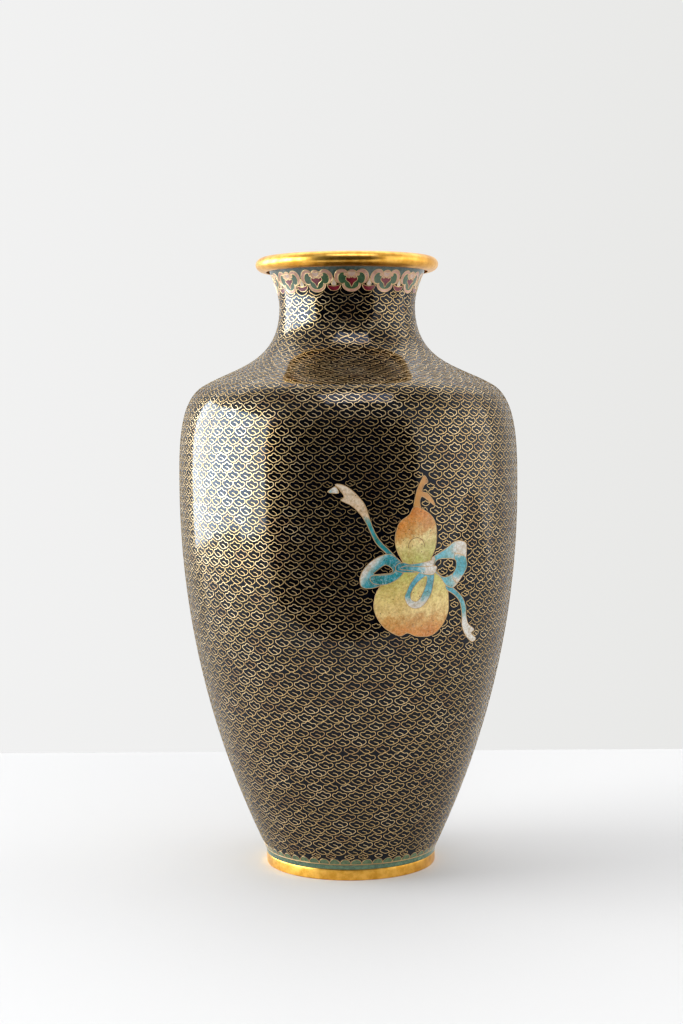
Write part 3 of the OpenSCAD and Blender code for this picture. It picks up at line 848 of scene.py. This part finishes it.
def coats():
    """The dark ground, the grounds of the collar and the border, the lining and the underside."""
    ground_top = HEAD_Z + 0.5
    outer_coat("ground_coat", DARK, BORDER_Z, ground_top, GROUND_D, "ground_enamel")
    grey_green = clouded_enamel("collar_grey_green", (0.095, 0.16, 0.125), (0.03, 0.055, 0.045), 700.0)
    outer_coat("collar_ground", grey_green, ground_top, VASE_H - LIP_H + 0.45, GROUND_D,
               "collar_ground_enamel")
    green = clouded_enamel("border_green", (0.11, 0.20, 0.11), (0.025, 0.065, 0.035), 800.0)
    outer_coat("border_strip", green, FOOT_H + 0.03, BORDER_Z - 0.1, STRIP_D,
               "border_strip_enamel")

    turquoise = clouded_enamel("counter_enamel", (0.055, 0.30, 0.33), (0.02, 0.17, 0.20), 60.0, 0.2, 500.0,
                               0.05)
    low, high, floor_r = FOOT_H + 0.95, VASE_H - LIP_H - 1.3, 33.2
    z = height_at(np.linspace(arc_at(9.5), arc_at(high), 110))
    section = [(0.0, low), (floor_r, low), *zip(*at_height(z, LINING_D + FIT)),
               *list(zip(*at_height(z, CAVITY_D)))[::-1],
               (floor_r - 0.3, low + 1.2), (floor_r - 1.8, low + 0.35), (0.0, low + 0.3)]
    dress(turned(section, LINING_STEPS), "lining", [turquoise], ["inner_enamel"])

    rim, top, face = FOOT_R - FOOT_W, FOOT_H - 0.05, FOOT_H - 0.6
    under = [(0.0, top), (rim - FIT, top), (rim - FIT, FOOT_H - 0.75), (rim - 0.8, FOOT_H - 0.52),
             (12.0, face), (0.0, face)]
    dress(turned(under, UNDERSIDE_STEPS), "underside_coat", [turquoise],
          ["base_enamel"])


def bowed(x0, x1, z0, z1, round_r, bow):
    """Section of a ring with rounded edges and a slightly bowed outer face."""
    points = []
    for cx, cz, a0 in ((x1 - round_r, z0 + round_r, -90), (x1 - round_r, z1 - round_r, 0)):
        for a in np.radians(np.linspace(a0, a0 + 90, 7)):
            points.append((cx + round_r * math.cos(a), cz + round_r * math.sin(a)))
    points[7:7] = [(x1 + bow * (1 - (2 * t - 1) ** 2), z0 + (z1 - z0) * t) for t in (0.3, 0.5, 0.7)]
    return [(x0, z0)] + points + [(x0, z1)]


def rings():
    """The foot band, and the lip: sheet metal rolled outwards, with a sleeve down into the neck."""
    foot = turned(bowed(FOOT_R - FOOT_W, FOOT_R - 0.06, 0.0, FOOT_H, 0.5, 0.06))
    dress(foot, "foot_band", [GILT], ["foot_ring"])

    z = height_at(np.linspace(arc_at(VASE_H - 10.0), arc_at(VASE_H - LIP_H + 0.5), 6))
    sleeve_out = list(zip(*at_height(z, LINING_D + FIT)))
    sleeve_in = list(zip(*at_height(z, LINING_D + LIP_SHEET)))
    half_w, half_h = (LIP_R - sleeve_in[-1][0]) / 2, LIP_H / 2

    def roll(inset, count):
        a = np.radians(np.linspace(192, -98, count))
        return list(zip(LIP_R - half_w + (half_w - inset) * np.cos(a),
                        VASE_H - half_h + (half_h - inset) * np.sin(a)))
    section = sleeve_in + roll(0, 44) + roll(LIP_SHEET, 40)[::-1] + sleeve_out[::-1]
    dress(turned(section), "lip", [GILT], ["lip_ring"])


# ---------------------------------------------------------------- borders
COLLAR_SHADES = (
    ("pink", (0.72, 0.42, 0.31), (0.52, 0.25, 0.17)),
    ("pale", (0.72, 0.52, 0.43), (0.54, 0.33, 0.26)),
    ("leaf_green", (0.075, 0.15, 0.068), (0.03, 0.075, 0.036)),
    ("maroon", (0.26, 0.022, 0.04), (0.11, 0.006, 0.014)),
    ("cream", (0.76, 0.64, 0.52), (0.60, 0.46, 0.36)))


def collar():
    """The cloud heads' pink bands, green leaves and dark red hearts, and what hangs in their gaps."""
    pink, pale, green, maroon, cream = (clouded_enamel("collar_" + name, light, dark, 500.0)
                                        for name, light, dark in COLLAR_SHADES)
    for name, where, fills, slot, enamel, replaced in (
        ("collar_band", ON_HEADS, ["band", "curl"], "pink_enamel", pink, ["collar_head_enamel"]),
        ("collar_brow", ON_HEADS, ["brow"], "pink_enamel", pale, []),
        ("collar_leaves", ON_HEADS, ["leaf"], "leaf_green", green, ["collar_leaf_enamel"]),
        ("collar_hearts", ON_HEADS, ["heart"], "maroon_enamel", maroon, ["collar_heart_enamel"]),
        ("collar_moons", IN_GAPS, ["moon"], "maroon_enamel", maroon, ["collar_drop_enamel"]),
        ("collar_drops", IN_GAPS, ["drop"], "pink_enamel", cream, []),
    ):
        fired_panel(name, where, fills, enamel, replaced)
    drawn_wire("collar_head_wires", ON_HEADS, WIRES[0], ["collar_wires"], COLLAR_WIRE_R)
    drawn_wire("collar_gap_wires", IN_GAPS, WIRES[0], radius=COLLAR_WIRE_R)


def border():
    green = clouded_enamel("scallop_green", (0.13, 0.20, 0.085), (0.03, 0.07, 0.03), 800.0)
    fired_panel("border_scallops", ON_BORDER, ["scallop"], green, ["border_scallop_enamel"])
    drawn_wire("border_scallop_edges", ON_BORDER, WIRES[3], ["border_scallop_wires"], BORDER_WIRE_R)
    a = np.arange(RING_STEPS) / RING_STEPS * TAU
    hoop = placed(a, np.full(RING_STEPS, BORDER_Z - 0.15), WIRE_TOP + BORDER_WIRE_R)
    edges = [(k, (k + 1) % RING_STEPS) for k in range(RING_STEPS)]
    bent_wire("border_ring", hoop, edges, WIRES[3], ["border_ring_wire"], BORDER_WIRE_R)


# ---------------------------------------------------------------- gourd and ribbon
def gourd():
    z = GOURD_Z
    lower = axis_shaded("gourd_lower_shades", z, [(-29, ORANGE), (-22.5, RUST), (-19.5, (0.88, 0.66, 0.28)),
                                                  (-14, STRAW), (-4, LIME)],
                        4.6, flecks=0.35, fleck_colour=HONEY)
    upper = axis_shaded("gourd_upper_shades", z, [(-9, LIME), (-4.5, (0.66, 0.58, 0.21)),
                                                  (-0.4, (0.90, 0.74, 0.34)), (2.2, RUST), (9, ORANGE)],
                        5.0, lean=-0.35, flecks=0.35, fleck_colour=HONEY)
    bark = clouded_enamel("gourd_stem_orange", (0.62, 0.30, 0.075), (0.44, 0.19, 0.045), 260.0)
    for name, fill, enamel in (("gourd_lower", "gourd_lower", lower), ("gourd_upper", "gourd_upper", upper),
                               ("gourd_stem", "stem", bark)):
        fired_panel(name, ON_BODY, [fill], enamel, [name + "_enamel"])


def ribbon():
    """Each part of the ribbon runs from teal where it is folded to chalk at its end."""
    z = GOURD_Z
    tail_left = axis_shaded("ribbon_tail_left_shades", z,
                            [(-1, TEAL), (8, (0.02, 0.27, 0.32)), (15.5, (0.06, 0.38, 0.44)), (18.5, SAND),
                             (30, (0.80, 0.67, 0.52))], 2.0, flecks=0.35)
    teal = axis_shaded("ribbon_teal_shades", z, [(-9, TEAL), (-4, (0.03, 0.33, 0.40)), (3, TEAL)], 3.0,
                       flecks=0.8)
    slant = -0.8
    loop_left = axis_shaded("ribbon_loop_left_shades", slant * z,
                            [(0, CHALK), (9.6, CHALK), (11.0, (0.3, 0.55, 0.6)), (12.4, (0.04, 0.32, 0.40)),
                             (20, TEAL)], 1.2, "X", slant, 0.7)
    sky = axis_shaded("ribbon_sky_shades", z,
                      [(-18, CHALK), (-15.5, CHALK), (-13, SKY), (-9, (0.06, 0.34, 0.46)), (-3, SKY)], 2.0,
                      flecks=0.6)
    right = axis_shaded("ribbon_loop_right_shades", 0,
                        [(31, (0.05, 0.36, 0.46)), (37.5, SKY), (40, (0.3, 0.55, 0.6)), (42, CHALK),
                         (48, CHALK)], 2.0, "X", 0.0, 0.5)
    under = axis_shaded("ribbon_fold_shades", z,
                        [(-10, CHALK), (-7.5, CHALK), (-5.5, SKY), (-1, (0.05, 0.34, 0.44)), (1.5, SKY),
                         (2.5, CHALK)], 2.0, flecks=0.4)
    tail_right = axis_shaded("ribbon_tail_right_shades", z,
                             [(-33, CHALK), (-24, CHALK), (-20, SKY), (-10, (0.04, 0.30, 0.40))], 2.5,
                             flecks=0.5)
    sash = axis_shaded("ribbon_sash_shades", 0,
                       [(18, TEAL), (23, (0.03, 0.30, 0.40)), (27.5, SKY), (29.5, CHALK), (34, CHALK)], 2.4,
                       "X", 0.0, 0.6)
    for fill, name, enamel, in_cad in (
        ("tail_left", "ribbon_tail_left", tail_left, True),
        ("tail_tip", "ribbon_tail_tip", under, False),
        ("loop_left", "ribbon_loop_left", loop_left, True),
        ("loop_left_inner", "ribbon_loop_left_inner", teal, False),
        ("sash", "ribbon_sash", sash, True),
        ("sash_band", "ribbon_sash_band", sash, False),
        ("loop_middle", "ribbon_loop_middle", sky, True),
        ("loop_right", "ribbon_loop_right", right, True),
        ("loop_right_under", "ribbon_loop_right_fold", under, False),
        ("tail_right", "ribbon_tail_right", tail_right, True),
    ):
        fired_panel(name, ON_BODY, [fill], enamel, [name + "_enamel"] if in_cad else [])


def motif_wires():
    """Outlines of the gourd and of the ribbon, and the little arch on the gourd's upper bulb."""
    names = [fill[0] for fill in MOTIF.fills]
    gourd_fills = [names.index(n) for n in ("gourd_upper", "gourd_lower", "stem")] + [-1]

    def of_gourd(a, b):
        return a in gourd_fills and b in gourd_fills

    def of_ribbon(a, b):
        return not of_gourd(a, b)
    drawn_wire("gourd_outline", ON_BODY, WIRES[3], ["gourd_wires"], keep=of_gourd)
    drawn_wire("ribbon_outline", ON_BODY, WIRES[3], ["ribbon_wires"], keep=of_ribbon)
    bend = np.radians(np.linspace(-8, 188, 16))
    arch = np.stack([-0.2 + 3.3 * np.cos(bend), 6.5 + 3.2 * np.sin(bend)], axis=1)
    points = flat_to_wall(arch, GOURD_TURN, GOURD_Z, WIRE_TOP + ARCH_WIRE_R)
    tarnished = wire_metal("tarnished_wire", (0.20, 0.10, 0.05), 0.6)
    edges = [(k, k + 1) for k in range(len(arch) - 1)]
    bent_wire("gourd_arch", points, edges, tarnished, radius=ARCH_WIRE_R)


def copper_core():
    """The copper under the enamel. It shows nowhere, but a part taken out alone has its own colour."""
    copper, tree, shader = material("copper_sheet", metallic=1.0, roughness=0.4)
    tint = ramp(tree, object_noise(tree, 60.0), (0.3, (0.45, 0.18, 0.09)), (0.7, (0.66, 0.31, 0.18)))
    tree.links.new(tint, shader.inputs["Base Color"])
    for part in ("lower_body_shell", "shoulder_shell", "neck_shell", "base_plate"):
        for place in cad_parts[part].material_slots:
            place.material = copper


coats()
rings()
collar()
border()
gourd()
ribbon()
motif_wires()
cloud_wires(WIRES)
copper_core()


# ---------------------------------------------------------------- floor, light and camera
FLOOR_BACK, FLOOR_FRONT, FLOOR_SIDE = 0.232, -0.27, 3
FLOOR_COLOUR = (0.71, 0.708, 0.702, 1)


def studio_floor():
    """A plain pale sheet that the vase stands on."""
    bpy.ops.object.select_all(action="DESELECT")
    bpy.ops.mesh.primitive_plane_add(size=2)
    obj = bpy.context.object
    corners = [(x, y, 0) for y in (FLOOR_FRONT, FLOOR_BACK) for x in (-FLOOR_SIDE, FLOOR_SIDE)]
    for v, corner in zip(obj.data.vertices, corners):
        v.co = corner
    paint, _, shader = material("floor_paint", roughness=0.7)
    set_inputs(shader, Base_Color=FLOOR_COLOUR)
    obj.data.materials.append(paint)
    obj.name = "floor"


def panel_light(name, at, look_at, wide, high, power, colour):
    data = bpy.data.lights.new(name, "AREA")
    data.shape = "RECTANGLE"
    data.size, data.size_y = wide, high
    data.energy = power
    data.color = colour
    obj = new_object(name, data)
    obj.location = at
    obj.rotation_euler = (Vector(look_at) - Vector(at)).to_track_quat("-Z", "Y").to_euler()
    return obj


# The surroundings, by where they lie about the vase.
FRONT_DARK = (0.012, 0.011, 0.011)
SIDE_SOFT, SIDE_BRIGHT = (1.35, 1.36, 1.38), (2.1, 2.12, 2.16)
BEHIND = (0.9, 0.9, 0.9)
TOP_FRONT, TOP_BACK = (0.32, 0.32, 0.33), (1.4, 1.4, 1.41)
# The backdrop is painted lighter on the left and darker on the right: painted light and shade from the
# windows' side.
BACKDROP_LIT_LEFT, BACKDROP_SHADED_RIGHT = (0.905, 0.905, 0.905), (0.79, 0.79, 0.775)
LOPSIDED = 0.077  # how much further the dark reaches on the left


def studio_world():
    """Plain soft light: dark before the vase's front, bright at its sides and above, softer behind.

    Seen straight by the camera it is a pale backdrop instead, with painted light on its left and painted
    shade on its right."""
    world = bpy.data.worlds.new("studio")
    bpy.context.scene.world = world
    world.use_nodes = True
    tree = world.node_tree
    split = node(tree, "ShaderNodeSeparateXYZ")
    tree.links.new(node(tree, "ShaderNodeTexCoord").outputs["Generated"], split.inputs[0])
    slant = scaled_sum(tree, split.outputs["X"], LOPSIDED, split.outputs["Y"])
    sides = ramp(tree, ranged(tree, slant, -1.0, 0.6), (0.0, FRONT_DARK), (0.218, FRONT_DARK),
                 (0.255, SIDE_SOFT), (0.6, SIDE_BRIGHT), (0.885, SIDE_BRIGHT), (0.94, BEHIND))
    above = ramp(tree, ranged(tree, split.outputs["Z"], 0.3, 0.75), (0.0, BLACK), (1.0, WHITE))
    top = ramp(tree, ranged(tree, split.outputs["Y"], -0.2, 0.4), (0.0, TOP_FRONT), (1.0, TOP_BACK))
    # Painted light and shade across the backdrop, lighter towards the windows on the left.
    backdrop = ramp(tree, ranged(tree, split.outputs["X"], -0.3, 0.3), (0.0, BACKDROP_LIT_LEFT),
                    (1.0, BACKDROP_SHADED_RIGHT))
    seen = node(tree, "ShaderNodeLightPath").outputs["Is Camera Ray"]
    light = mixed(tree, seen, mixed(tree, above, sides, top), backdrop)
    tree.links.new(light, tree.nodes["Background"].inputs["Color"])
    tree.nodes["Background"].inputs["Strength"].default_value = 1.0


# Lights: name, place, the point it faces, width, height, power in watts, colour.
# The first ones are seen in the enamel only; what they would throw on the vase comes from the fills.
MIRRORED = [
    ("window", (-1.15, -0.09, 0.36), (0, -0.09, 0.36), 0.75, 0.80, 20, (0.66, 0.82, 1.0)),
    ("window_dim", (-1.15, -0.63, 0.36), (0, -0.63, 0.36), 0.33, 0.80, 6.5, (0.82, 0.91, 1.0)),
    ("window_far", (-1.15, 0.55, 0.36), (0, 0.0, 0.2), 0.52, 0.80, 11, (0.78, 0.88, 1.0)),
    ("ceiling_spot", (0.13, -0.75, 1.6), (0, 0, 0.2), 1.1, 0.7, 10, (0.74, 0.80, 1.0)),
    ("back_top", (0, 0.75, 1.2), (0, 0, 0.2), 2.4, 0.7, 4, (0.85, 0.92, 1.0)),
]
FILLS = [
    ("front_fill", (0.7, -2.6, 1.9), (0, 0, 0.13), 3.2, 2.2, 42, WHITE),
    ("right_fill", (2.4, 0.0, 1.3), (0, 0, 0.1), 2.0, 1.6, 6, WHITE),
    ("left_fill", (-2.4, -0.3, 1.8), (0, 0, 0.1), 2.0, 2.0, 44, WHITE),
]

EYE = Vector((0, -740.1, 193.4)) * MM
PITCH, YAW, ROLL = 0.0616, -0.004, -0.007  # radians; the pitch is downwards
LENS_MM, SENSOR_MM, NEAREST = 61.95, 36.0, 0.05


def studio_camera():
    turned_aside = Matrix.Rotation(-YAW, 3, "Z")
    ahead = turned_aside @ Vector((0, math.cos(PITCH), -math.sin(PITCH)))
    level = turned_aside @ Vector((1, 0, 0))
    upward = level.cross(ahead)
    right = math.cos(ROLL) * level + math.sin(ROLL) * upward
    above = -math.sin(ROLL) * level + math.cos(ROLL) * upward
    lens = bpy.data.cameras.new("camera")
    lens.lens, lens.sensor_width, lens.clip_start = LENS_MM, SENSOR_MM, NEAREST
    camera = new_object("camera", lens)
    turn = Matrix((right, above, -ahead)).transposed()
    camera.matrix_world = Matrix.Translation(EYE) @ turn.to_4x4()
    bpy.context.scene.camera = camera


studio_floor()
studio_world()
bpy.context.scene.view_settings.view_transform = "Standard"
for row in MIRRORED:
    panel_light(*row).visible_diffuse = False
for row in FILLS:
    panel_light(*row).visible_glossy = False
studio_camera()
